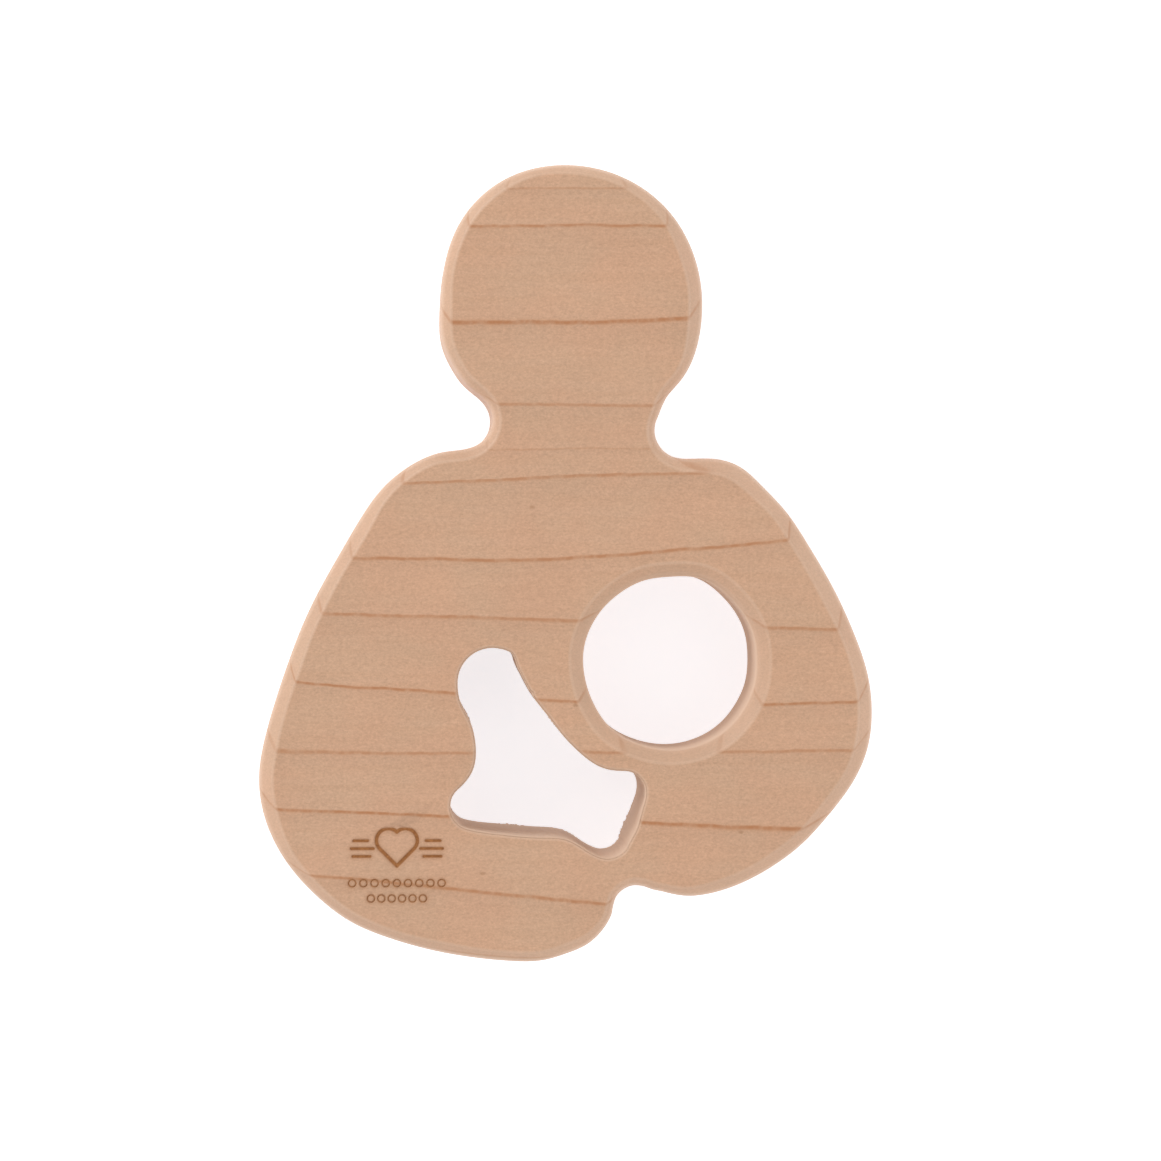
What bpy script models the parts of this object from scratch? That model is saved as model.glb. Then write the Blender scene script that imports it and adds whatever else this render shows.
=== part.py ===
"""Wooden teether cut from one maple board: a mother nursing her baby.

The piece is one flat silhouette. The mother's head, neck, arms and lap are its
outline, a round hole is the baby's head, and a slanted opening is the baby's
body and legs. It lies on its back: +Z is the board's thickness, +Y points to
the mother's head, and the origin is the middle of the back face.
"""
import math

import bmesh
import bpy
import numpy as np

# Board, in metres
THICKNESS = 0.019

# Mother's torso, arms and lap
TORSO_WIDTH = 0.0783
TORSO_HEIGHT = 0.0641

# Mother's head, nearly round, and how far it sits off the midline
HEAD_RADIUS = 0.0167
HEAD_OFFSET = 0.0006

# Neck: the waist between two round coves, and its height from shoulder to jaw
NECK_WIDTH = 0.0207
NECK_HEIGHT = 0.0079
NECK_OFFSET = 0.0009
NECK_COVE_RADIUS = 0.00365
LEFT_SHOULDER_LIFT = 0.0013

# Baby's head: a drilled hole. Its place is a share of the half width, and a
# height above the lap
BABY_HEAD_DIAMETER = 0.0222
BABY_HEAD_SHARE = 0.3405
BABY_HEAD_HEIGHT = 0.0381

# Baby's body: a sawn opening, a wall away from the drilled hole
BRIDGE_WALL = 0.0052
BRIDGE_DIRECTION = math.radians(-140.0)
SHOULDER_LOBE_RADIUS = 0.00445
HEEL_LOBE_RADIUS = 0.00275
FOOT_LOBE_RADIUS = 0.0030
SEAT_LOBE_RADIUS = 0.00295

# Cove in the lap, a wall below the baby's foot
LAP_COVE_RADIUS = 0.0031
FOOT_WALL = 0.0043
FOOT_WALL_DIRECTION = math.radians(-68.3)

# Edges: width across the face, depth down the side, and how far the middle of
# a chamfer stands proud of flat
RIM_CHAMFER_WIDTH = 0.0016
RIM_CHAMFER_DEPTH = 0.0018
BORE_CHAMFER_WIDTH = 0.0017
BORE_CHAMFER_DEPTH = 0.0017
SAWN_EDGE_EASE = 0.0004
CHAMFER_FULLNESS = 0.00012

# Number of points around each loop, and between two points of an outline
RIM_STEPS = 240
BORE_STEPS = 56
OPENING_STEPS = 104
SPLINE_STEPS = 24

# Edges that turn more than this stay sharp in the shading
SHARP_ANGLE = math.radians(20.0)

# Round parts of the outlines: start and end angle in degrees, and their points
LEFT_NECK_ARC = (42.0, -62.0, 5)
RIGHT_NECK_ARC = (245.0, 150.0, 5)
LAP_COVE_ARC = (182.0, 60.0, 6)
SHOULDER_ARC = (184.0, 56.0, 8)
HEEL_ARC = (95.0, -8.0, 6)
FOOT_ARC = (-18.0, -120.0, 6)
SEAT_ARC = (262.0, 125.0, 7)

# Finish: oiled maple
MAPLE_COLOUR = (0.578, 0.352, 0.223, 1.0)
MAPLE_ROUGHNESS = 0.5

# Head outline from under the right jaw over the crown to under the left jaw,
# from the head's centre, as shares of its radius
HEAD_OUTLINE = (
    (0.734, -0.762),
    (0.814, -0.669),
    (0.897, -0.550),
    (0.981, -0.309),
    (1.005, -0.089),
    (0.960, 0.264),
    (0.764, 0.637),
    (0.454, 0.884),
    (0.005, 1.003),
    (-0.280, 0.977),
    (-0.500, 0.897),
    (-0.690, 0.761),
    (-0.835, 0.585),
    (-0.971, 0.208),
    (-0.997, -0.099),
    (-0.982, -0.344),
    (-0.893, -0.545),
    (-0.821, -0.647),
    (-0.737, -0.722),
)

# Torso outline from the left neck cove round the lap to the lap cove. Each
# point is a share of the half width from the midline, and of the height
LEFT_ARM_AND_LAP = (
    (-0.408, 1.012),
    (-0.462, 1.001),
    (-0.535, 0.975),
    (-0.603, 0.938),
    (-0.666, 0.885),
    (-0.732, 0.817),
    (-0.803, 0.740),
    (-0.856, 0.673),
    (-0.900, 0.604),
    (-0.949, 0.515),
    (-0.984, 0.438),
    (-1.000, 0.376),
    (-0.989, 0.302),
    (-0.951, 0.239),
    (-0.888, 0.179),
    (-0.809, 0.128),
    (-0.699, 0.078),
    (-0.569, 0.045),
    (-0.444, 0.023),
    (-0.310, 0.008),
    (-0.180, 0.000),
    (-0.071, 0.002),
)

# Lap outline beside the lap cove, from the cove's centre
KNEE_LEFT_OF_COVE = (
    (-0.00886, -0.00558),
    (-0.00640, -0.00450),
    (-0.00435, -0.00257),
    (-0.00364, -0.00150),
)
ELBOW_RIGHT_OF_COVE = (
    (0.0032, 0.0023),
    (0.0044, 0.0020),
    (0.0064, 0.0017),
    (0.0083, 0.0018),
)

# Torso outline from the lap cove up the right arm to the right neck cove
RIGHT_ARM = (
    (0.546, 0.147),
    (0.680, 0.189),
    (0.772, 0.232),
    (0.854, 0.286),
    (0.931, 0.348),
    (0.986, 0.422),
    (1.000, 0.491),
    (0.987, 0.568),
    (0.940, 0.654),
    (0.880, 0.735),
    (0.790, 0.830),
    (0.718, 0.895),
    (0.643, 0.944),
    (0.562, 0.986),
    (0.494, 0.999),
    (0.414, 1.000),
)

# Baby's body opening: lobe centres and the points between them, all from the
# middle of the bridge
SHOULDER_LOBE = (-0.01028, 0.00791)
HEEL_LOBE = (0.00645, -0.00606)
FOOT_LOBE = (0.00430, -0.01140)
SEAT_LOBE = (-0.01270, -0.00778)
BACK_OF_BODY = (
    (-0.0072, 0.0102),
    (-0.0064, 0.0085),
    (-0.0051, 0.0061),
    (-0.0034, 0.0039),
    (-0.0015, 0.0014),
    (0.0006, -0.0008),
    (0.0025, -0.0023),
    (0.0043, -0.0031),
)
SHIN = (
    (0.0087, -0.0083),
    (0.0080, -0.0107),
)
UNDERSIDE = (
    (0.0014, -0.0132),
    (0.0003, -0.0125),
    (-0.0008, -0.0120),
    (-0.0040, -0.0117),
    (-0.0092, -0.0113),
)
FRONT_OF_BODY = (
    (-0.0128, -0.0032),
    (-0.0124, -0.0013),
    (-0.0125, 0.0006),
    (-0.0131, 0.0029),
    (-0.0143, 0.0053),
)


def arc(centre, radius, start, end, count):
    """Points on a circle's arc, from the start angle to the end angle in degrees."""
    angles = np.radians(np.linspace(start, end, count))
    return [(centre[0] + radius * math.cos(a), centre[1] + radius * math.sin(a)) for a in angles]


def shifted(points, origin):
    """The points, moved from being measured at an origin."""
    return [(origin[0] + x, origin[1] + y) for x, y in points]


def scaled(points, width, height):
    """Points given as shares of a width and a height."""
    return [(x * width, y * height) for x, y in points]


def along(origin, angle, distance):
    """The point at a distance from an origin, in the direction of an angle."""
    return (origin[0] + distance * math.cos(angle), origin[1] + distance * math.sin(angle))


def closed_spline(points, steps):
    """A smooth closed curve through the points, as evenly spaced points."""
    knots = np.array(points)
    count = len(knots)
    chords = np.linalg.norm(np.roll(knots, -1, axis=0) - knots, axis=1)
    before = np.roll(chords, 1)
    slopes = (np.roll(knots, -1, axis=0) - knots) / chords[:, None]
    system = np.zeros((count, count))
    for i in range(count):
        system[i, i - 1] = chords[i]
        system[i, i] = 2.0 * (chords[i] + before[i])
        system[i, (i + 1) % count] = before[i]
    right_side = 3.0 * (chords[:, None] * np.roll(slopes, 1, axis=0) + before[:, None] * slopes)
    tangents = np.linalg.solve(system, right_side)
    fine = []
    for i in range(count):
        start, end = knots[i], knots[(i + 1) % count]
        lead, trail = tangents[i] * chords[i], tangents[(i + 1) % count] * chords[i]
        for t in np.linspace(0.0, 1.0, SPLINE_STEPS, endpoint=False):
            fine.append(
                start * (2 * t**3 - 3 * t**2 + 1)
                + lead * (t**3 - 2 * t**2 + t)
                + end * (3 * t**2 - 2 * t**3)
                + trail * (t**3 - t**2)
            )
    fine.append(fine[0])
    fine = np.array(fine)
    run = np.concatenate(([0.0], np.cumsum(np.linalg.norm(np.diff(fine, axis=0), axis=1))))
    even = np.linspace(0.0, run[-1], steps, endpoint=False)
    return np.column_stack((np.interp(even, run, fine[:, 0]), np.interp(even, run, fine[:, 1])))


def inset(loop, distance):
    """The loop moved to its left by a distance: inwards where it runs anticlockwise."""
    direction = np.roll(loop, -1, axis=0) - np.roll(loop, 1, axis=0)
    direction /= np.linalg.norm(direction, axis=1)[:, None]
    left = np.column_stack((-direction[:, 1], direction[:, 0]))
    return loop + distance * left


def mother_outline(lap_cove):
    """The outer outline, anticlockwise, with the lap's lowest line at zero."""
    half_width = TORSO_WIDTH / 2.0
    left_cove = (
        NECK_OFFSET - NECK_WIDTH / 2.0 - NECK_COVE_RADIUS,
        TORSO_HEIGHT + NECK_COVE_RADIUS + LEFT_SHOULDER_LIFT,
    )
    right_cove = (
        NECK_OFFSET + NECK_WIDTH / 2.0 + NECK_COVE_RADIUS,
        TORSO_HEIGHT + NECK_COVE_RADIUS,
    )
    jaw_drop = -HEAD_OUTLINE[0][1] * HEAD_RADIUS
    head = (HEAD_OFFSET, TORSO_HEIGHT + NECK_HEIGHT + jaw_drop)
    points = shifted(scaled(HEAD_OUTLINE, HEAD_RADIUS, HEAD_RADIUS), head)
    points += arc(left_cove, NECK_COVE_RADIUS, *LEFT_NECK_ARC)
    points += scaled(LEFT_ARM_AND_LAP, half_width, TORSO_HEIGHT)
    points += shifted(KNEE_LEFT_OF_COVE, lap_cove)
    points += arc(lap_cove, LAP_COVE_RADIUS, *LAP_COVE_ARC)
    points += shifted(ELBOW_RIGHT_OF_COVE, lap_cove)
    points += scaled(RIGHT_ARM, half_width, TORSO_HEIGHT)
    points += arc(right_cove, NECK_COVE_RADIUS, *RIGHT_NECK_ARC)
    return closed_spline(points, RIM_STEPS)


def body_opening(origin):
    """The sawn opening's outline, clockwise, from the middle of the bridge."""
    points = arc(SHOULDER_LOBE, SHOULDER_LOBE_RADIUS, *SHOULDER_ARC)
    points += BACK_OF_BODY
    points += arc(HEEL_LOBE, HEEL_LOBE_RADIUS, *HEEL_ARC)
    points += SHIN
    points += arc(FOOT_LOBE, FOOT_LOBE_RADIUS, *FOOT_ARC)
    points += UNDERSIDE
    points += arc(SEAT_LOBE, SEAT_LOBE_RADIUS, *SEAT_ARC)
    points += FRONT_OF_BODY
    return closed_spline(shifted(points, origin), OPENING_STEPS)


def edge_profile(width, depth):
    """Steps of (inset, height) down one chamfered side, front face to back face."""
    front = [
        (width, THICKNESS),
        (width / 2.0 - CHAMFER_FULLNESS, THICKNESS - depth / 2.0 + CHAMFER_FULLNESS),
        (0.0, THICKNESS - depth),
    ]
    back = [(step, THICKNESS - height) for step, height in reversed(front)]
    return front + back


def eased_profile(width):
    """Steps of (inset, height) down one side whose edges are only sanded."""
    return [(width, THICKNESS), (0.0, THICKNESS - width), (0.0, width), (width, 0.0)]


def add_wall(mesh, loop, profile):
    """The side wall of one loop. Returns its edges on the front and the back face."""
    rings = []
    for step, height in profile:
        ring = [mesh.verts.new((x, y, height)) for x, y in inset(loop, step)]
        rings.append(ring)
    count = len(loop)
    for upper, lower in zip(rings, rings[1:]):
        for i in range(count):
            j = (i + 1) % count
            mesh.faces.new((upper[i], lower[i], lower[j], upper[j]))
    front = [mesh.edges.get((rings[0][i], rings[0][(i + 1) % count])) for i in range(count)]
    back = [mesh.edges.get((rings[-1][i], rings[-1][(i + 1) % count])) for i in range(count)]
    return front, back


def maple():
    """The oiled maple finish."""
    material = bpy.data.materials.new("maple")
    material.use_nodes = True
    shader = material.node_tree.nodes["Principled BSDF"]
    shader.inputs["Base Color"].default_value = MAPLE_COLOUR
    shader.inputs["Roughness"].default_value = MAPLE_ROUGHNESS
    shader.inputs["Metallic"].default_value = 0.0
    return material


def build_body():
    """The board with its outline, its two openings and its chamfered edges."""
    baby_head = (BABY_HEAD_SHARE * TORSO_WIDTH / 2.0, BABY_HEAD_HEIGHT)
    bore_radius = BABY_HEAD_DIAMETER / 2.0
    bridge = along(baby_head, BRIDGE_DIRECTION, bore_radius + BRIDGE_WALL)
    foot = shifted([FOOT_LOBE], bridge)[0]
    lap_cove = along(foot, FOOT_WALL_DIRECTION, FOOT_LOBE_RADIUS + FOOT_WALL + LAP_COVE_RADIUS)

    rim = mother_outline(lap_cove)
    bore = np.array(arc(baby_head, bore_radius, 360.0, 0.0, BORE_STEPS + 1)[:-1])
    opening = body_opening(bridge)
    middle = (rim.min(axis=0) + rim.max(axis=0)) / 2.0

    mesh = bmesh.new()
    walls = [
        add_wall(mesh, rim - middle, edge_profile(RIM_CHAMFER_WIDTH, RIM_CHAMFER_DEPTH)),
        add_wall(mesh, bore - middle, edge_profile(BORE_CHAMFER_WIDTH, BORE_CHAMFER_DEPTH)),
        add_wall(mesh, opening - middle, eased_profile(SAWN_EDGE_EASE)),
    ]
    for side in (0, 1):
        edges = [edge for wall in walls for edge in wall[side]]
        bmesh.ops.triangle_fill(mesh, use_beauty=True, edges=edges)
    bmesh.ops.recalc_face_normals(mesh, faces=mesh.faces)

    data = bpy.data.meshes.new("body")
    mesh.to_mesh(data)
    mesh.free()
    data.shade_smooth()
    data.set_sharp_from_angle(angle=SHARP_ANGLE)
    data.materials.append(maple())
    body = bpy.data.objects.new("body", data)
    bpy.context.scene.collection.objects.link(body)
    return body


for old in list(bpy.data.objects):
    bpy.data.objects.remove(old, do_unlink=True)
build_body()
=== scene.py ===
"""Looks for the nursing-mother teether: one board of oiled maple on a pale table.

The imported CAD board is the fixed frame. Its outline, its drilled hole and its
sawn opening are read from the CAD node's mesh, and one finer mesh stands for
it: hand-routed chamfers, softened arrises, a sawn inner wall and a burned mark.
Lengths here are in millimetres until a mesh is written in metres.
"""

import math

import bmesh
import bpy
import numpy as np
from mathutils import Matrix, Vector


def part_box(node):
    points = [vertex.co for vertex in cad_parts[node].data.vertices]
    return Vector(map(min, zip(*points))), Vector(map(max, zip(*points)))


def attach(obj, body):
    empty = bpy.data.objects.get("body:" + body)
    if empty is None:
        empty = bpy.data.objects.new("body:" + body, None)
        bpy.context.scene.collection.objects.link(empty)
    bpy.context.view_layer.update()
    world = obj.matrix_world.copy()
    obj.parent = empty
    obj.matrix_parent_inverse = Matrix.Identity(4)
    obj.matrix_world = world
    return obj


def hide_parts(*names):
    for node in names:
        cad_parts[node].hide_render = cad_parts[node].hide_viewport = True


MM = 0.001

# Points along each loop of the fine mesh
RIM_POINTS = 1500
OPENING_POINTS = 900
BORE_POINTS = 320
SPLINE_STEPS = 16

# Routed rim chamfer: its width across the face where the hand-held router ran,
# as (x, y, width), its small waves as (waves round the rim, start, height), and
# its depth as a share of its width
RIM_WIDTHS = (
    (0.6, 50.8, 1.1),
    (-16.2, 34.5, 1.3),
    (17.2, 35.0, 1.8),
    (-10.5, 20.5, 1.05),
    (11.5, 19.5, 1.0),
    (-17.0, 14.0, 1.25),
    (22.0, 13.5, 1.95),
    (-29.0, 0.0, 1.65),
    (34.5, 0.0, 2.0),
    (-38.5, -26.0, 1.75),
    (38.5, -19.0, 1.9),
    (-27.0, -42.0, 1.25),
    (27.0, -37.0, 1.6),
    (-4.0, -50.5, 1.3),
    (8.0, -43.0, 0.95),
)
RIM_WIDTH_FALLOFF = 3.0
RIM_WIDTH_SOFTENING = 0.5
RIM_WOBBLES = ((17, 0.6, 0.05), (31, 2.1, 0.035))
RIM_DEPTH_SHARE = 1.0

# Drilled hole's chamfer, which is shallower towards the head, and the sawn
# opening's sanded edge, as wide as it is deep
BORE_WIDTH = 1.75
BORE_DEPTH = 1.2
BORE_DEPTH_LEAN = 0.3
OPENING_EASE = 0.28

# How far sanding has left the drilled hole's wall off its circle, as (bearing in
# degrees, distance), where a distance below 0 is towards the middle
BORE_LOBES = (
    (0.0, -0.22),
    (68.0, 0.28),
    (92.0, -0.22),
    (125.0, -0.13),
    (170.0, 0.12),
    (228.0, 0.22),
    (330.0, -0.12),
)
BORE_LOBE_SPREAD = 16.0

# How far each corner's rounding reaches along its two sides: the chamfer's top
# edge and its worn lower arris, then both edges of the opening's ease. The last
# is how much flat face a side carries beyond its top edge
CRISP_REACH = 0.3
ARRIS_REACH = 0.75
EASE_REACH = 0.2
FLAT_MARGIN = 0.35
ROUNDING_STEPS = 5
WALL_STEPS = 9

# Scroll-saw marks on the opening's wall, and where the blade drifted into the
# opening on its way down: (x, y, spread, depth)
SAW_PITCH = 0.62
SAW_DEPTH = 0.012
SAW_FADE = 0.05
BLADE_DRIFTS = ((8.0, -33.6, 2.8, 0.6), (9.6, -28.8, 2.2, 0.25), (-6.0, -33.0, 6.0, 0.3))

# A nick in the opening's front edge, and splinters along its back edge, which
# fade over a share of the thickness. A torn run and a splinter are so many points
NICK_PLACE = (-4.3, -16.4)
NICK_SPREAD = 0.3
NICK_DEPTH = 0.42
TEAR_DEPTH = 0.04
TEAR_ZONE = 0.1
TEAR_SEED = 5
TEAR_RUN = 41
TEAR_SPLINTER = 5

# Burned mark: the face patch that holds it, and its strokes
MARK_CENTRE = (-21.6, -39.1)
MARK_SIZE = (14.6, 11.6)
MARK_CORNER_POWER = 2.6
MARK_FADE = (0.85, 0.98)
MARK_PITCH = 0.085
MARK_DEPTH = 0.14
STROKE_EDGE = 0.07
SCORCH_REACH = 0.22
SCORCH_SHARE = 0.4
HEART_TIP = 0.7
HEART_SIZE = 4.3
HEART_STROKE = 0.25
RULES = ((3.9, 4.6, 0.9), (2.9, 4.4, 1.4), (1.9, 4.5, 1.1))
RULE_STROKE = 0.2
BEAD_ROWS = ((-1.5, 9, 1.42), (-3.45, 6, 1.32))
BEAD_RADIUS = 0.46
BEAD_STROKE = 0.09

# Painted shade on the drilled hole's wall, darker in its lower half and drawn in the burned
# mark's char colours: how much, and the shares of the depth over which it comes in and goes out
BORE_PAINTED_SHADE = 0.18
PAINTED_SHADE_COMES_IN = (0.3, 0.6)
PAINTED_SHADE_GOES_OUT = (0.88, 0.95)

# Growth rings, on the front face: height at the middle of the board, lean
# across it, bow across it, and how dark the line is
GROWTH_RINGS = (
    (54.0, 0.0, 0.0, 0.4),
    (47.7, 0.0, 0.0, 0.35),
    (43.1, 0.0, 0.0, 0.8),
    (30.6, 0.018, 0.0012, 1.0),
    (20.2, 0.0, 0.0, 0.55),
    (14.5, 0.01, 0.0, 0.25),
    (11.2, 0.034, -0.0004, 0.7),
    (0.7, 0.046, 0.0018, 0.85),
    (-7.2, -0.040, 0.0, 0.7),
    (-17.6, -0.050, 0.0012, 0.95),
    (-24.0, 0.0, 0.0002, 0.6),
    (-32.5, -0.037, 0.0, 1.0),
    (-42.8, -0.118, 0.0, 0.85),
    (-51.5, -0.06, 0.0004, 0.6),
    (-61.0, -0.02, 0.0008, 0.9),
    (-68.5, 0.0, 0.0006, 0.5),
    (-79.0, 0.03, 0.0, 0.95),
    (-87.5, 0.02, -0.0003, 0.6),
    (-98.0, 0.0, 0.0004, 0.9),
)
LEAN_RANGE = 0.15
BOW_RANGE = 0.003

# Rise of the ring surfaces along the board for each millimetre of depth, and
# how that rise grows
RING_RISE = 1.5
RING_RISE_GROWTH = 0.02

# Mineral flecks in the front face: (x, y)
FLECKS = ((22.2, -34.2), (-10.7, -39.4), (-4.4, 7.2), (1.1, -18.0))
FLECK_SIZE = (0.5, 0.3)

# Camera: its height over the front face, the point below it, where it aims, and
# how much of the face it sees across
CAMERA_HEIGHT = 630.0
CAMERA_FOOT = (-22.0, 6.0)
CAMERA_AIM = (1.74, -2.14)
CAMERA_FIELD = 147.5
SENSOR_WIDTH = 36.0

# Light: the tent, the soft panels as (name, place, power), and the table, all
# from here on in metres
WORLD_COLOUR = (1.0, 0.995, 0.985, 1.0)
WORLD_STRENGTH = 0.64
PANEL_SIDE = 0.6
PANELS = (
    ("key", (-0.63, 0.61, 0.42), 5.2),
    ("fill", (0.85, -0.05, 0.40), 3.0),
    ("low", (-0.55, -0.72, 0.40), 2.0),
)
FLOOR_COLOUR = (0.84, 0.835, 0.83, 1.0)
FLOOR_GLOW_COLOUR = (0.845, 0.915, 1.0, 1.0)
FLOOR_GLOW = 0.645
FLOOR_SIDE = 6.0
FLOOR_GAP = 0.0001

# Colours of the wood and of what is done to it, some of them holding painted light
WARM_MAPLE = (0.590, 0.352, 0.228, 1.0)
COOL_MAPLE = (0.568, 0.356, 0.234, 1.0)
STREAK = (0.515, 0.300, 0.180, 1.0)
RAY_FLECK = (0.36, 0.18, 0.09, 1.0)
RING_HALO = (0.52, 0.265, 0.140, 1.0)
RING_LINE = (0.42, 0.175, 0.072, 1.0)
MINERAL = (0.30, 0.15, 0.07, 1.0)
END_GRAIN = (0.40, 0.215, 0.12, 1.0)
# Sanded cut wood on chamfers and walls; part of its paleness is painted sheen
SANDED_CUT_AND_SHEEN = (0.550, 0.375, 0.270, 1.0)
# Bare inner walls, made paler as painted fill light over their shade
BARE_WALL_AND_FILL_LIGHT = (0.700, 0.515, 0.390, 1.0)
# Worn arris colour: burnished wear with a painted highlight along the edges
WORN_ARRIS_AND_HIGHLIGHT = (0.720, 0.520, 0.390, 1.0)
# Char colours of the burned mark, also used as painted shade low in the drilled hole's wall
DARK_CHAR_AND_SHADE = (0.270, 0.102, 0.030, 1.0)
LIGHT_CHAR_AND_SHADE = (0.380, 0.158, 0.052, 1.0)


# ---------------------------------------------------------------- CAD outlines

def signed_area(loop):
    """Area inside a loop, positive where it runs anticlockwise."""
    after = np.roll(loop, -1, axis=0)
    return 0.5 * float(np.sum(loop[:, 0] * after[:, 1] - after[:, 0] * loop[:, 1]))


def perimeter(loop):
    """Length of a closed loop."""
    return float(np.sum(np.linalg.norm(np.roll(loop, -1, axis=0) - loop, axis=1)))


def wall_loops(node):
    """Rim, opening and bore of the CAD board, at the walls, the rim and the opening each with wood
    on its left.
    """
    mesh = bmesh.new()
    mesh.from_mesh(node.data)
    bmesh.ops.remove_doubles(mesh, verts=mesh.verts, dist=1e-6)
    low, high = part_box(node.name)
    middle = (low.z + high.z) / 2.0
    corners = set()
    for edge in mesh.edges:
        a, b = edge.verts
        if (a.co.z - middle) * (b.co.z - middle) < 0 and (a.co.xy - b.co.xy).length < 1e-5:
            corners.add(a if a.co.z > b.co.z else b)
    loops = []
    for start in sorted(corners, key=lambda v: v.index):
        if start in corners:
            loops.append(walked_from(start, corners))
    mesh.free()
    rim, opening, bore = sorted(loops, key=perimeter, reverse=True)
    if signed_area(rim) < 0:
        rim = rim[::-1]
    if signed_area(opening) > 0:
        opening = opening[::-1]
    return rim, opening, bore


def walked_from(start, corners):
    """The loop of corners that holds the start, taken out of the set."""
    chain = [start]
    corners.discard(start)
    while True:
        last = chain[-1]
        near = [edge.other_vert(last) for edge in last.link_edges]
        near = [v for v in near if v in corners and abs(v.co.z - last.co.z) < 1e-6]
        if not near:
            return np.array([(v.co.x / MM, v.co.y / MM) for v in chain])
        chain.append(min(near, key=lambda v: (v.co - last.co).length))
        corners.discard(chain[-1])


def smoothed(loop, count):
    """The loop as a smooth closed curve through its corners, in even steps."""
    after, further = np.roll(loop, -1, axis=0), np.roll(loop, -2, axis=0)
    before = np.roll(loop, 1, axis=0)
    lead, trail = (after - before) / 2.0, (further - loop) / 2.0
    pieces = []
    for t in np.linspace(0.0, 1.0, SPLINE_STEPS, endpoint=False):
        pieces.append(
            loop * (2 * t**3 - 3 * t**2 + 1)
            + lead * (t**3 - 2 * t**2 + t)
            + after * (3 * t**2 - 2 * t**3)
            + trail * (t**3 - t**2)
        )
    fine = np.stack(pieces, axis=1).reshape(-1, 2)
    fine = np.vstack((fine, fine[:1]))
    run = np.concatenate(([0.0], np.cumsum(np.linalg.norm(np.diff(fine, axis=0), axis=1))))
    even = np.linspace(0.0, run[-1], count, endpoint=False)
    return np.column_stack((np.interp(even, run, fine[:, 0]), np.interp(even, run, fine[:, 1])))


def drilled(loop, count):
    """The circle that a drilled hole's corners lie on, clockwise, as sanding left it."""
    centre = (loop.min(axis=0) + loop.max(axis=0)) / 2.0
    radius = float(np.mean(np.linalg.norm(loop - centre, axis=1)))
    angles = -np.linspace(0.0, 2.0 * math.pi, count, endpoint=False)
    radii = np.full(count, radius)
    for bearing, height in BORE_LOBES:
        off = (np.degrees(angles) - bearing + 180.0) % 360.0 - 180.0
        radii += height * np.exp(-((off / BORE_LOBE_SPREAD) ** 2))
    return centre + radii[:, None] * np.column_stack((np.cos(angles), np.sin(angles)))


def left_of(loop):
    """Unit vectors to the loop's left, into the wood."""
    along = np.roll(loop, -1, axis=0) - np.roll(loop, 1, axis=0)
    along /= np.linalg.norm(along, axis=1)[:, None]
    return np.column_stack((-along[:, 1], along[:, 0]))


# --------------------------------------------------------------- edge sections

def rim_width(loop):
    """Chamfer width at each point of the rim, blended from the measured places."""
    places = np.array(RIM_WIDTHS)
    reach = np.linalg.norm(loop[:, None, :] - places[None, :, :2], axis=2)
    reach += RIM_WIDTH_SOFTENING
    weight = reach ** -RIM_WIDTH_FALLOFF
    width = (weight * places[None, :, 2]).sum(axis=1) / weight.sum(axis=1)
    turn = np.linspace(0.0, 2.0 * math.pi, len(loop), endpoint=False)
    return width + sum(height * np.sin(waves * turn + start) for waves, start, height in RIM_WOBBLES)


def towards(start, end, reach):
    """The point a reach from the start, on the way to the end, for every point of a loop."""
    way = end - start
    return start + way * (reach / np.linalg.norm(way, axis=1))[:, None]


def rounded(corners, reaches):
    """Rows of (inset, depth, edge mask) down a section whose corners are rounded; the edge mask
    peaks on each rounding and stands for wear and a painted highlight.
    """
    rows = [(corners[0], 0.0)]
    for before, corner, after, reach in zip(corners, corners[1:], corners[2:], reaches):
        start, end = towards(corner, before, reach), towards(corner, after, reach)
        for t in np.linspace(0.0, 1.0, ROUNDING_STEPS + 1):
            point = (1 - t) ** 2 * start + 2 * t * (1 - t) * corner + t**2 * end
            rows.append((point, 4.0 * t * (1.0 - t)))
    rows.append((corners[-1], 0.0))
    return rows


def section_corner(inset, depth, count):
    """One corner of a section, the same or varied round a loop of so many points."""
    column = np.empty((count, 2))
    column[:, 0] = inset
    column[:, 1] = depth
    return column


def chamfered(width, depth, reaches, half, count):
    """Half a section: flat face, top edge, chamfer, lower arris, wall."""
    corners = [
        section_corner(width + FLAT_MARGIN, 0.0, count),
        section_corner(width, 0.0, count),
        section_corner(0.0, depth, count),
        section_corner(0.0, half, count),
    ]
    return rounded(corners, reaches)


def smooth_step(value, low, high):
    """0 below the low value, 1 above the high one, smooth between."""
    t = np.clip((value - low) / (high - low), 0.0, 1.0)
    return t * t * (3.0 - 2.0 * t)


def painted_shade_share(height, thickness):
    """Share of painted shade at heights on a wall, none at either face."""
    down = 1.0 - height / thickness
    return smooth_step(down, *PAINTED_SHADE_COMES_IN) * (1.0 - smooth_step(down, *PAINTED_SHADE_GOES_OUT))


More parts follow.
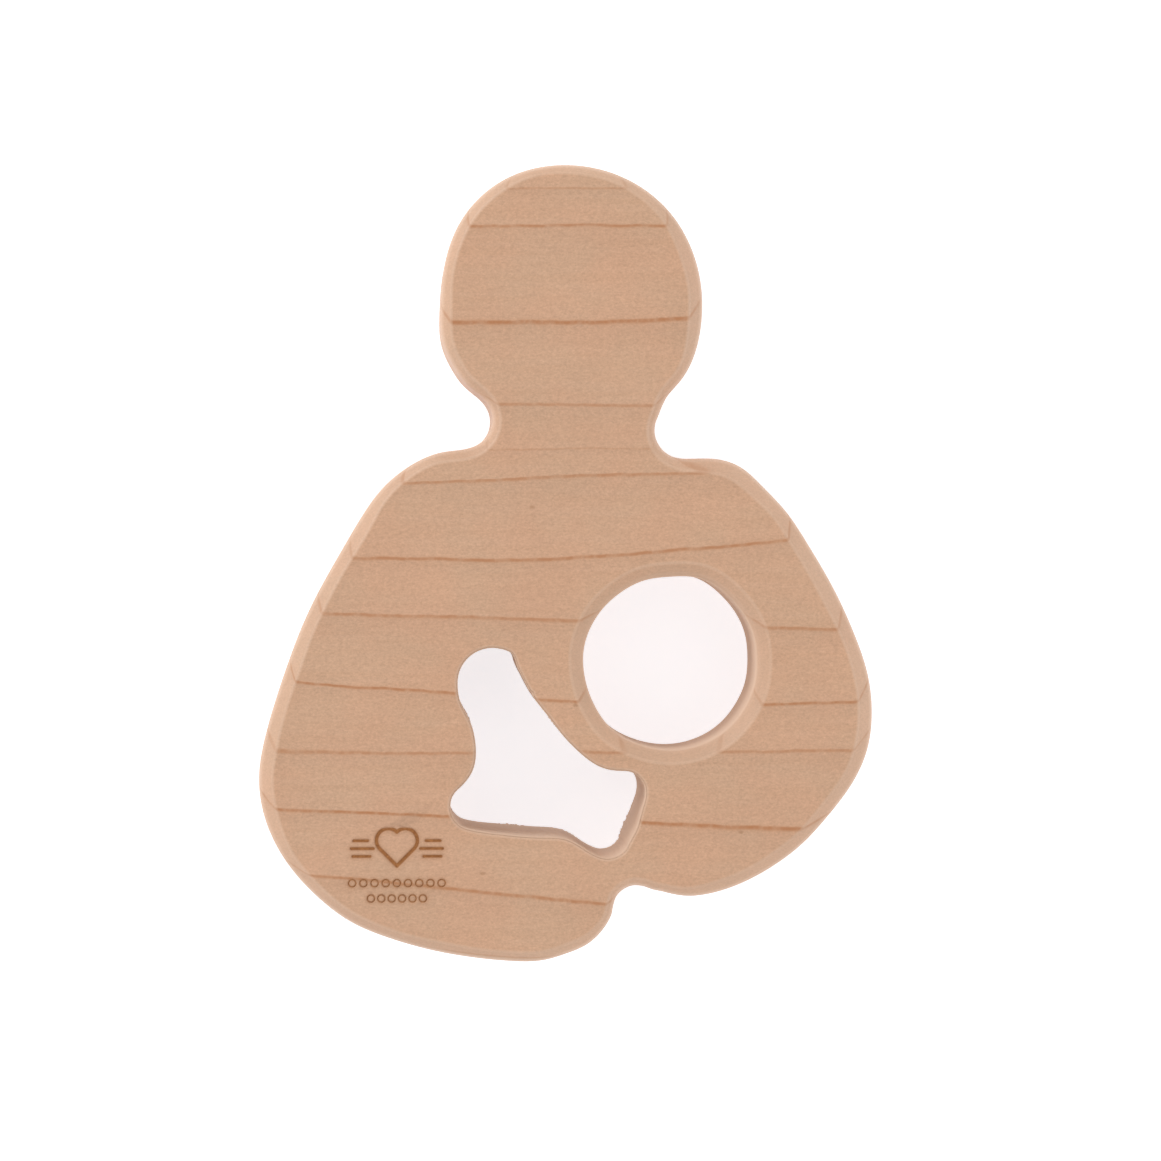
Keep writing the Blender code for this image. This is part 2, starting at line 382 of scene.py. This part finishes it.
def whole_side(half_rows, thickness, scorch_and_shade=0.0):
    """Rings from the front face to the back face: inset, height, edge mask for wear and painted
    highlight, and painted shade where a share of it is given.
    """
    front = [(row[:, 0], thickness - row[:, 1], wear_and_highlight) for row, wear_and_highlight in half_rows[:-1]]
    back = [(row[:, 0], row[:, 1], wear_and_highlight) for row, wear_and_highlight in reversed(half_rows[:-1])]
    wall = []
    for share in np.linspace(0.0, 1.0, WALL_STEPS + 2)[1:-1]:
        height = front[-1][1] * (1.0 - share) + back[0][1] * share
        wall.append((front[-1][0], height, 0.0))
    rings = []
    for inset, height, wear_and_highlight in front + wall + back:
        rings.append((inset, height, wear_and_highlight, scorch_and_shade * painted_shade_share(height, thickness)))
    return rings


def bore_depth(loop):
    """Depth of the drilled hole's chamfer at each point."""
    middle = (loop.min(axis=0) + loop.max(axis=0)) / 2.0
    off = loop - middle
    return BORE_DEPTH - BORE_DEPTH_LEAN * off[:, 1] / np.linalg.norm(off, axis=1)


def near_place(loop, place, spread):
    """How near each point is to a place: 1 there, fading to 0 over the spread."""
    gap = np.linalg.norm(loop - np.array(place), axis=1)
    return np.exp(-((gap / spread) ** 2))


def torn_edge(count):
    """Splinters along the edge where the blade came out: mostly none, a few long."""
    rough = np.random.default_rng(TEAR_SEED).normal(size=count)
    slow = np.convolve(np.tile(rough, 3), np.hanning(TEAR_RUN), "same")[count:2 * count]
    quick = np.convolve(np.tile(rough, 3), np.hanning(TEAR_SPLINTER), "same")[count:2 * count]
    return np.clip(quick / quick.std(), -0.5, 3.0) * np.clip(0.4 + slow / slow.std(), 0.15, 2.0)


def sawn_inset(loop, inset, height, thickness):
    """A ring's inset on the opening, with saw marks, drift of the blade and the nick."""
    run = np.arange(len(loop)) * perimeter(loop) / len(loop)
    marks = np.sin(2 * math.pi * run / SAW_PITCH + 1.7 * np.sin(run / 3.1))
    marks *= 0.55 + 0.45 * np.sin(run / 1.9 + 0.8)
    down = 1.0 - height / thickness
    on_wall = np.clip(np.minimum(down, 1.0 - down) / SAW_FADE, 0.0, 1.0)
    drift = sum(
        depth * near_place(loop, (x, y), spread) for x, y, spread, depth in BLADE_DRIFTS
    ) * down**1.5
    nick = NICK_DEPTH * near_place(loop, NICK_PLACE, NICK_SPREAD) * (1.0 - down) ** 2
    tear = TEAR_DEPTH * torn_edge(len(loop)) * np.clip((down - 1.0) / TEAR_ZONE + 1.0, 0.0, 1.0)
    return inset + SAW_DEPTH * marks * on_wall - drift + nick - tear


# ----------------------------------------------------------------- burned mark

def heart_gap(x, y, size):
    """Signed distance to a heart whose tip is the origin, positive outside."""
    x, y = np.abs(x) / size, y / size
    lobe = np.hypot(x - 0.25, y - 0.75) - math.sqrt(2.0) / 4.0
    fold = 0.5 * np.maximum(x + y, 0.0)
    side = np.minimum(np.hypot(x, y - 1.0), np.hypot(x - fold, y - fold)) * np.sign(x - y)
    return np.where(x + y > 1.0, lobe, side) * size


def bar_gap(x, y, centre, half_length):
    """Distance to a short level line."""
    return np.hypot(np.maximum(np.abs(x - centre[0]) - half_length, 0.0), y - centre[1])


def mark_gap(x, y):
    """Signed distance to the mark's strokes: a heart between rules, over two rows of beads."""
    gaps = [np.abs(heart_gap(x, y - HEART_TIP, HEART_SIZE)) - HEART_STROKE]
    for side in (-1.0, 1.0):
        for height, centre, half_length in RULES:
            gaps.append(bar_gap(x, y, (side * centre, height), half_length) - RULE_STROKE)
    for height, count, pitch in BEAD_ROWS:
        for index in range(count):
            middle = pitch * (index - (count - 1) / 2.0)
            bead = np.abs(np.hypot(x - middle, y - height) - BEAD_RADIUS)
            gaps.append(bead - BEAD_STROKE)
    return np.minimum.reduce(gaps)


def add_mark_patch(mesh, layers, thickness):
    """A fine grid in the front face that carries the mark. Returns its border edges."""
    columns = int(MARK_SIZE[0] / MARK_PITCH)
    rows = int(MARK_SIZE[1] / MARK_PITCH)
    xs = np.linspace(-0.5, 0.5, columns + 1) * MARK_SIZE[0]
    ys = np.linspace(-0.5, 0.5, rows + 1) * MARK_SIZE[1]
    grid_x, grid_y = np.meshgrid(xs, ys)
    gap = mark_gap(grid_x, grid_y)
    inside = 1.0 - smooth_step(gap, -STROKE_EDGE, STROKE_EDGE)
    scorch_and_shade = np.maximum(inside, SCORCH_SHARE * np.exp(-np.maximum(gap, 0.0) / SCORCH_REACH))
    outward = (
        np.abs(2.0 * grid_x / MARK_SIZE[0]) ** MARK_CORNER_POWER
        + np.abs(2.0 * grid_y / MARK_SIZE[1]) ** MARK_CORNER_POWER
    )
    scorch_and_shade *= 1.0 - smooth_step(outward, *MARK_FADE)
    heights = thickness - MARK_DEPTH * inside
    verts = {}
    faces = []
    for j in range(rows):
        for i in range(columns):
            cell = ((j, i), (j, i + 1), (j + 1, i + 1), (j + 1, i))
            if max(outward[spot] for spot in cell) > 1.0:
                continue
            for spot in cell:
                if spot not in verts:
                    x, y = MARK_CENTRE[0] + xs[spot[1]], MARK_CENTRE[1] + ys[spot[0]]
                    verts[spot] = mesh.verts.new((x * MM, y * MM, heights[spot] * MM))
                    verts[spot][layers["burn_and_shade"]] = float(scorch_and_shade[spot])
            faces.append(mesh.faces.new([verts[spot] for spot in cell]))
    return [edge for edge in {e for face in faces for e in face.edges} if edge.is_boundary]


# ------------------------------------------------------------------ fine board

def add_side(mesh, layers, loop, rings, inner):
    """The skin of one loop's side. Returns its edges on the front and back faces."""
    normals = left_of(loop)
    count = len(loop)
    made = []
    for inset, height, wear_and_highlight, burn_and_shade in rings:
        places = (loop + normals * np.broadcast_to(inset, count)[:, None]) * MM
        heights = np.broadcast_to(height, count) * MM
        burns_and_shades = np.broadcast_to(burn_and_shade, count)
        ring = []
        for (x, y), z, scorch_and_shade in zip(places, heights, burns_and_shades):
            vert = mesh.verts.new((x, y, z))
            vert[layers["wear_and_highlight"]] = wear_and_highlight
            vert[layers["inner"]] = inner
            vert[layers["burn_and_shade"]] = float(scorch_and_shade)
            ring.append(vert)
        made.append(ring)
    for upper, lower in zip(made, made[1:]):
        for i in range(count):
            j = (i + 1) % count
            mesh.faces.new((upper[i], lower[i], lower[j], upper[j]))
    borders = []
    for ring in (made[0], made[-1]):
        borders.append([mesh.edges.get((ring[i], ring[(i + 1) % count])) for i in range(count)])
    return borders


def side_rings(rim, opening, bore, thickness):
    """The rings down each side, with its loop and whether it is an inner wall."""
    half = thickness / 2.0
    width = rim_width(rim)
    routed = (CRISP_REACH, ARRIS_REACH)
    eased = (EASE_REACH, EASE_REACH)
    rim_rows = chamfered(width, width * RIM_DEPTH_SHARE, routed, half, len(rim))
    bore_rows = chamfered(BORE_WIDTH, bore_depth(bore), routed, half, len(bore))
    opening_rows = chamfered(OPENING_EASE, OPENING_EASE, eased, half, len(opening))
    sawn = [
        (sawn_inset(opening, inset, height, thickness), height, wear_and_highlight, burn_and_shade)
        for inset, height, wear_and_highlight, burn_and_shade in whole_side(opening_rows, thickness)
    ]
    return (
        (rim, whole_side(rim_rows, thickness), 0.0),
        # The drilled hole's wall carries painted shade in its lower half
        (bore, whole_side(bore_rows, thickness, BORE_PAINTED_SHADE), 1.0),
        (opening, sawn, 1.0),
    )


def build_board(node):
    """The fine mesh that stands for the CAD board."""
    low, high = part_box(node.name)
    thickness = (high.z - low.z) / MM
    rim, opening, bore = wall_loops(node)
    rim = smoothed(rim, RIM_POINTS)
    opening = smoothed(opening, OPENING_POINTS)
    bore = drilled(bore, BORE_POINTS)

    mesh = bmesh.new()
    # Point masks: the burn layer holds the burned mark and painted shade, the wear layer holds edge
    # wear and a painted highlight
    layers = {name: mesh.verts.layers.float.new(name) for name in ("burn_and_shade", "wear_and_highlight", "inner")}
    borders = []
    for loop, rings, inner in side_rings(rim, opening, bore, thickness):
        borders.append(add_side(mesh, layers, loop, rings, inner))
    mark_border = add_mark_patch(mesh, layers, thickness)
    front = [edge for border in borders for edge in border[0]] + mark_border
    back = [edge for border in borders for edge in border[1]]
    for edges in (front, back):
        bmesh.ops.triangle_fill(mesh, use_beauty=True, edges=edges)
    bmesh.ops.recalc_face_normals(mesh, faces=mesh.faces)

    data = bpy.data.meshes.new("maple_board")
    mesh.to_mesh(data)
    mesh.free()
    data.shade_smooth()
    board = bpy.data.objects.new("maple_board", data)
    bpy.context.scene.collection.objects.link(board)
    return board


# -------------------------------------------------------------------- material

class Graph:
    """Short calls for building one material's nodes."""

    def __init__(self, name):
        self.material = bpy.data.materials.new(name)
        self.material.use_nodes = True
        self.nodes = self.material.node_tree.nodes
        self.links = self.material.node_tree.links
        self.shader = self.nodes["Principled BSDF"]

    def put(self, socket, value):
        """Links a socket to another, or sets its value."""
        if isinstance(value, bpy.types.NodeSocket):
            self.links.new(value, socket)
        else:
            socket.default_value = value

    def math(self, operation, *values):
        node = self.nodes.new("ShaderNodeMath")
        node.operation = operation
        for socket, value in zip(node.inputs, values):
            self.put(socket, value)
        return node.outputs[0]

    def vector(self, operation, a, b):
        node = self.nodes.new("ShaderNodeVectorMath")
        node.operation = operation
        self.put(node.inputs[0], a)
        self.put(node.inputs[1], b)
        return node.outputs[0]

    def remap(self, value, low, high, to_low=0.0, to_high=1.0, kind="SMOOTHSTEP"):
        node = self.nodes.new("ShaderNodeMapRange")
        node.interpolation_type = kind
        for socket, number in zip(node.inputs, (value, low, high, to_low, to_high)):
            self.put(socket, number)
        return node.outputs[0]

    def peak(self, value, rise, fall):
        """1 between a smooth rise and a smooth fall, 0 outside them."""
        up = self.remap(value, *rise)
        return self.math("MULTIPLY", up, self.remap(value, *fall, 1.0, 0.0))

    def shaded(self, shade, value, amount):
        """A shade varied by an amount as the value runs from 0 to 1."""
        return self.math("MULTIPLY_ADD", self.math("SUBTRACT", value, 0.5), amount, shade)

    def mix(self, factor, a, b, blend="MIX"):
        node = self.nodes.new("ShaderNodeMix")
        node.data_type = "RGBA"
        node.blend_type = blend
        self.put(node.inputs[0], factor)
        self.put(node.inputs[6], a)
        self.put(node.inputs[7], b)
        return node.outputs[2]

    def noise(self, vector, stretch, detail=2.0, roughness=0.5):
        """Noise that varies over one unit of the stretched vector, from 0 to 1."""
        node = self.nodes.new("ShaderNodeTexNoise")
        self.put(node.inputs["Vector"], self.vector("MULTIPLY", vector, stretch))
        node.inputs["Scale"].default_value = 1.0
        node.inputs["Detail"].default_value = detail
        node.inputs["Roughness"].default_value = roughness
        return node.outputs["Fac"]

    def curve(self, value, points):
        """A piecewise line through points whose two coordinates run from 0 to 1."""
        node = self.nodes.new("ShaderNodeFloatCurve")
        line = node.mapping.curves[0]
        for point in points[1:-1]:
            line.points.new(*point)
        line.points[0].location = points[0]
        line.points[-1].location = points[-1]
        for point in line.points:
            point.handle_type = "VECTOR"
        node.mapping.update()
        self.put(node.inputs["Value"], value)
        return node.outputs[0]

    def attribute(self, name):
        node = self.nodes.new("ShaderNodeAttribute")
        node.attribute_name = name
        return node.outputs["Fac"]

    def bump(self, height, distance, strength, normal=None):
        node = self.nodes.new("ShaderNodeBump")
        node.inputs["Distance"].default_value = distance * MM
        node.inputs["Strength"].default_value = strength
        self.put(node.inputs["Height"], height)
        if normal is not None:
            self.put(node.inputs["Normal"], normal)
        return node.outputs[0]


def ring_height(graph, place, thickness):
    """A place's x, and the height at which its growth surface meets the front face."""
    split = graph.nodes.new("ShaderNodeSeparateXYZ")
    graph.put(split.inputs[0], place)
    x, y, z = split.outputs
    depth = graph.math("SUBTRACT", thickness, z)
    rise = graph.math("MULTIPLY_ADD", depth, RING_RISE_GROWTH, RING_RISE)
    drift = graph.noise(place, (0.05, 0.09, 0.2), 1.0)
    shake = graph.noise(place, (0.5, 0.25, 0.25), 2.0)
    height = graph.math("SUBTRACT", y, graph.math("MULTIPLY", rise, depth))
    height = graph.shaded(height, drift, 0.9)
    return x, graph.shaded(height, shake, 0.3)


def ring_years(graph, x, height):
    """Distance from the nearest ring as a share of a year, and that ring's strength."""
    rings = GROWTH_RINGS[::-1]
    lowest, highest = rings[0][0], rings[-1][0]
    spots = [(ring[0] - lowest) / (highest - lowest) for ring in rings]
    share = graph.remap(height, lowest, highest, kind="LINEAR")
    lean = graph.curve(share, [(s, 0.5 + 0.5 * r[1] / LEAN_RANGE) for s, r in zip(spots, rings)])
    bow = graph.curve(share, [(s, 0.5 + 0.5 * r[2] / BOW_RANGE) for s, r in zip(spots, rings)])
    lean = graph.remap(lean, 0.0, 1.0, -LEAN_RANGE, LEAN_RANGE, "LINEAR")
    bow = graph.remap(bow, 0.0, 1.0, -BOW_RANGE, BOW_RANGE, "LINEAR")
    tilt = graph.math("MULTIPLY", x, graph.math("MULTIPLY_ADD", bow, x, lean))
    level = graph.remap(graph.math("SUBTRACT", height, tilt), lowest, highest, kind="LINEAR")

    count = len(rings) - 1
    years = graph.curve(level, [(s, i / count) for i, s in enumerate(spots)])
    strength = graph.curve(level, [(s, ring[3]) for s, ring in zip(spots, rings)])
    years = graph.math("MULTIPLY", years, float(count))
    phase = graph.math("SUBTRACT", graph.math("FRACT", graph.math("ADD", years, 0.5)), 0.5)
    return phase, strength


def ring_lines(graph, place, thickness):
    """Growth rings at a place: the dark line, the warm wood round it, late wood."""
    phase, strength = ring_years(graph, *ring_height(graph, place, thickness))
    line = graph.peak(phase, (-0.045, -0.008), (0.006, 0.03))
    line = graph.math("MULTIPLY", line, strength)
    broken = graph.noise(place, (0.9, 0.5, 0.5), 3.0, 0.6)
    line = graph.math("MULTIPLY", line, graph.remap(broken, 0.3, 0.62, 0.45, 1.0))
    halo = graph.peak(phase, (-0.085, 0.0), (0.0, 0.06))
    patches = graph.noise(place, (0.35, 1.6, 1.6), 3.0, 0.65)
    halo = graph.math("MULTIPLY", halo, graph.remap(patches, 0.35, 0.65, 0.1, 1.0))
    halo = graph.math("MULTIPLY", halo, strength)
    late = graph.peak(phase, (-0.4, -0.01), (0.0, 0.02))
    return line, halo, late


def mineral_flecks(graph, place):
    """Small dark flecks in the front face, 1 at their middles."""
    total = None
    for x, y in FLECKS:
        reach = (1.0 / FLECK_SIZE[0], 1.0 / FLECK_SIZE[1], 0.0)
        off = graph.vector("MULTIPLY", graph.vector("SUBTRACT", place, (x, y, 0.0)), reach)
        length = graph.nodes.new("ShaderNodeVectorMath")
        length.operation = "LENGTH"
        graph.put(length.inputs[0], off)
        spot = graph.remap(length.outputs["Value"], 0.3, 1.0, 1.0, 0.0)
        total = spot if total is None else graph.math("MAXIMUM", total, spot)
    return total


def along_the_grain(graph, place):
    """The place turned so that Z crosses the growth rings and Y runs round them."""
    turn = graph.nodes.new("ShaderNodeVectorRotate")
    turn.rotation_type = "X_AXIS"
    graph.put(turn.inputs["Vector"], place)
    turn.inputs["Angle"].default_value = math.atan(1.0 / RING_RISE)
    return turn.outputs[0]


def clear_wood(graph, place, grain, fibre, late):
    """Plain maple: warm and cool areas, streaks, and the shade of fibre and pores."""
    speckle = graph.noise(place, (3.4, 4.2, 3.4), 2.0, 0.7)
    streak = graph.noise(grain, (0.05, 1.3, 1.1), 4.0, 0.65)
    mottle = graph.noise(grain, (0.09, 0.13, 0.05), 2.0)
    warmth = graph.noise(grain, (0.11, 0.16, 0.16), 2.0)
    pores = graph.noise(grain, (1.6, 9.0, 9.0), 2.0, 0.7)
    colour = graph.mix(graph.remap(warmth, 0.3, 0.7), WARM_MAPLE, COOL_MAPLE)
    colour = graph.mix(graph.remap(streak, 0.3, 0.72, 0.0, 0.26), colour, STREAK)
    shade = graph.shaded(1.0, fibre, 0.38)
    shade = graph.shaded(shade, speckle, 0.50)
    shade = graph.shaded(shade, mottle, 0.10)
    shade = graph.shaded(shade, pores, 0.10)
    shade = graph.math("MULTIPLY_ADD", late, -0.045, shade)
    tone = graph.nodes.new("ShaderNodeCombineColor")
    for socket in tone.inputs:
        graph.put(socket, shade)
    return graph.mix(1.0, colour, tone.outputs[0], "MULTIPLY")


def figured_wood(graph, place, colour, fleck, line, halo):
    """The wood with its ray flecks, growth rings and mineral flecks."""
    colour = graph.mix(fleck, colour, RAY_FLECK)
    colour = graph.mix(graph.math("MULTIPLY", halo, 0.42), colour, RING_HALO)
    colour = graph.mix(graph.math("MULTIPLY", line, 0.85), colour, RING_LINE)
    dots = graph.math("MULTIPLY", mineral_flecks(graph, place), 0.45)
    return graph.mix(dots, colour, MINERAL)


def cut_wood(graph, colour, wear_and_highlight):
    """The wood where it is cut: end grain, chamfers and inner walls made paler with painted sheen
    and painted fill light, worn arrises with a painted highlight.
    """
    split = graph.nodes.new("ShaderNodeSeparateXYZ")
    graph.put(split.inputs[0], graph.nodes.new("ShaderNodeNewGeometry").outputs["Normal"])
    sideways = graph.math("ABSOLUTE", split.outputs[0])
    upright = graph.math("ABSOLUTE", split.outputs[2])
    colour = graph.mix(graph.remap(sideways, 0.75, 1.0, 0.0, 0.12), colour, END_GRAIN)
    # Chamfers and walls: sanded wood, made paler as painted sheen
    cut_and_sheen = graph.remap(upright, 0.78, 0.97, 0.32, 0.0)
    colour = graph.mix(cut_and_sheen, colour, SANDED_CUT_AND_SHEEN)
    # Inner walls, and a little of the inner chamfers, made paler as painted fill light
    bare_and_fill_share = graph.math("MULTIPLY_ADD", cut_and_sheen, 0.4, graph.remap(upright, 0.3, 0.6, 0.85, 0.0))
    inner = graph.math("MULTIPLY", graph.attribute("inner"), bare_and_fill_share)
    colour = graph.mix(inner, colour, BARE_WALL_AND_FILL_LIGHT)
    # Edges: wear with a painted highlight
    return graph.mix(graph.math("MULTIPLY", wear_and_highlight, 0.28), colour, WORN_ARRIS_AND_HIGHLIGHT), inner


def burned_and_shaded_wood(graph, place, colour, burn_and_shade):
    """The wood charred where the mark is burned, and darkened in the same char colours as painted
    shade low in the drilled hole's wall.
    """
    patchy = graph.noise(place, (2.2, 2.2, 2.2), 3.0, 0.6)
    char_and_shade = graph.mix(graph.remap(patchy, 0.3, 0.7), DARK_CHAR_AND_SHADE, LIGHT_CHAR_AND_SHADE)
    return graph.mix(burn_and_shade, colour, char_and_shade)


def satin(graph, fibre, wear_and_highlight, burn_and_shade, inner):
    """Roughness: satin on the fibre, smoother where worn, dull where bare, where burned and where
    painted with shade.
    """
    rough = graph.remap(fibre, 0.25, 0.75, 0.44, 0.56, "LINEAR")
    rough = graph.math("MULTIPLY_ADD", wear_and_highlight, -0.06, rough)
    rough = graph.math("MULTIPLY_ADD", burn_and_shade, 0.25, rough)
    return graph.math("MULTIPLY_ADD", inner, 0.3, rough)


def fine_relief(graph, place, fibre, line, fleck):
    """Bump: fibre, sanding scratches, raised ring lines and sunken ray flecks."""
    scratches = graph.noise(place, (0.6, 14.0, 14.0), 2.0, 0.6)
    figure = graph.math("ADD", line, graph.math("MULTIPLY", fleck, -2.0))
    relief = graph.bump(fibre, 0.03, 0.35)
    relief = graph.bump(scratches, 0.012, 0.25, relief)
    return graph.bump(figure, 0.02, 0.3, relief)


def maple(thickness):
    """Oiled maple with its figure, its cut and worn edges and its burned mark, with painted sheen on
    cut faces, painted fill light on inner walls, a painted highlight on worn edges and painted shade
    low in the drilled hole.
    """
    graph = Graph("oiled_maple")
    coordinates = graph.nodes.new("ShaderNodeTexCoord").outputs["Object"]
    place = graph.vector("MULTIPLY", coordinates, (1.0 / MM,) * 3)
    grain = along_the_grain(graph, place)
    line, halo, late = ring_lines(graph, place, thickness)
    fibre = graph.noise(grain, (1.5, 4.4, 3.8), 4.0, 0.75)
    rays = graph.noise(grain, (1.1, 7.0, 0.22), 2.0, 0.7)
    fleck = graph.remap(rays, 0.66, 0.78, 0.0, 0.30)
    wear_and_highlight = graph.attribute("wear_and_highlight")
    burn_and_shade = graph.attribute("burn_and_shade")

    colour = clear_wood(graph, place, grain, fibre, late)
    colour = figured_wood(graph, place, colour, fleck, line, halo)
    colour, inner = cut_wood(graph, colour, wear_and_highlight)
    colour = burned_and_shaded_wood(graph, place, colour, burn_and_shade)
    inputs = graph.shader.inputs
    graph.put(inputs["Base Color"], colour)
    graph.put(inputs["Roughness"], satin(graph, fibre, wear_and_highlight, burn_and_shade, inner))
    graph.put(inputs["Normal"], fine_relief(graph, place, fibre, line, fleck))
    inputs["Specular IOR Level"].default_value = 0.3
    return graph.material


# ----------------------------------------------------------------------- stage

def build_floor():
    """A plain pale table that glows a little, as a light table does."""
    mesh = bmesh.new()
    bmesh.ops.create_grid(mesh, x_segments=1, y_segments=1, size=FLOOR_SIDE / 2.0)
    data = bpy.data.meshes.new("table")
    mesh.to_mesh(data)
    mesh.free()
    floor = bpy.data.objects.new("table", data)
    bpy.context.scene.collection.objects.link(floor)
    graph = Graph("pale_table")
    graph.shader.inputs["Base Color"].default_value = FLOOR_COLOUR
    graph.shader.inputs["Roughness"].default_value = 0.8
    graph.shader.inputs["Specular IOR Level"].default_value = 0.0
    graph.shader.inputs["Emission Color"].default_value = FLOOR_GLOW_COLOUR
    graph.shader.inputs["Emission Strength"].default_value = FLOOR_GLOW
    data.materials.append(graph.material)
    floor.location.z = -FLOOR_GAP


def add_panel(name, place, power):
    """A square soft light that faces the board."""
    data = bpy.data.lights.new(name, "AREA")
    data.shape = "SQUARE"
    data.size = PANEL_SIDE
    data.energy = power
    light = bpy.data.objects.new(name, data)
    light.location = place
    light.rotation_euler = (-Vector(place)).to_track_quat("-Z", "Y").to_euler()
    bpy.context.scene.collection.objects.link(light)


def light_scene():
    """A white tent with its strongest panel low at the upper left."""
    world = bpy.data.worlds.new("studio")
    bpy.context.scene.world = world
    world.use_nodes = True
    backdrop = world.node_tree.nodes["Background"]
    backdrop.inputs["Color"].default_value = WORLD_COLOUR
    backdrop.inputs["Strength"].default_value = WORLD_STRENGTH
    for name, place, power in PANELS:
        add_panel(name, place, power)


def aim_camera(top):
    """A camera over the board, a little to its left, with the board's head up."""
    data = bpy.data.cameras.new("camera")
    data.sensor_width = SENSOR_WIDTH
    data.lens = SENSOR_WIDTH * CAMERA_HEIGHT / CAMERA_FIELD
    data.clip_start = 0.01
    data.clip_end = 20.0
    camera = bpy.data.objects.new("camera", data)
    place = Vector((CAMERA_FOOT[0] * MM, CAMERA_FOOT[1] * MM, top + CAMERA_HEIGHT * MM))
    target = Vector((CAMERA_AIM[0] * MM, CAMERA_AIM[1] * MM, top))
    backward = (place - target).normalized()
    right = Vector((0.0, 1.0, 0.0)).cross(backward).normalized()
    turned = Matrix((right, backward.cross(right), backward)).transposed()
    camera.matrix_world = Matrix.Translation(place) @ turned.to_4x4()
    bpy.context.scene.collection.objects.link(camera)
    bpy.context.scene.camera = camera


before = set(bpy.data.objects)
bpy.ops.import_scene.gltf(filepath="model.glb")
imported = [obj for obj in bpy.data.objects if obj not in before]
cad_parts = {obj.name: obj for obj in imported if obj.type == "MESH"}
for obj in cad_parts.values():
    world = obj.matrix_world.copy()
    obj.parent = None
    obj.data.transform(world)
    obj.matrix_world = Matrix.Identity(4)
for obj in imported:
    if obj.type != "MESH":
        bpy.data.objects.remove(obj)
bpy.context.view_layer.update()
cad_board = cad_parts["body"]
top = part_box("body")[1].z

board = build_board(cad_board)
board.data.materials.append(maple(top / MM))
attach(board, "root")
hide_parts("body")

build_floor()
light_scene()
aim_camera(top)
bpy.context.scene.view_settings.view_transform = "Standard"
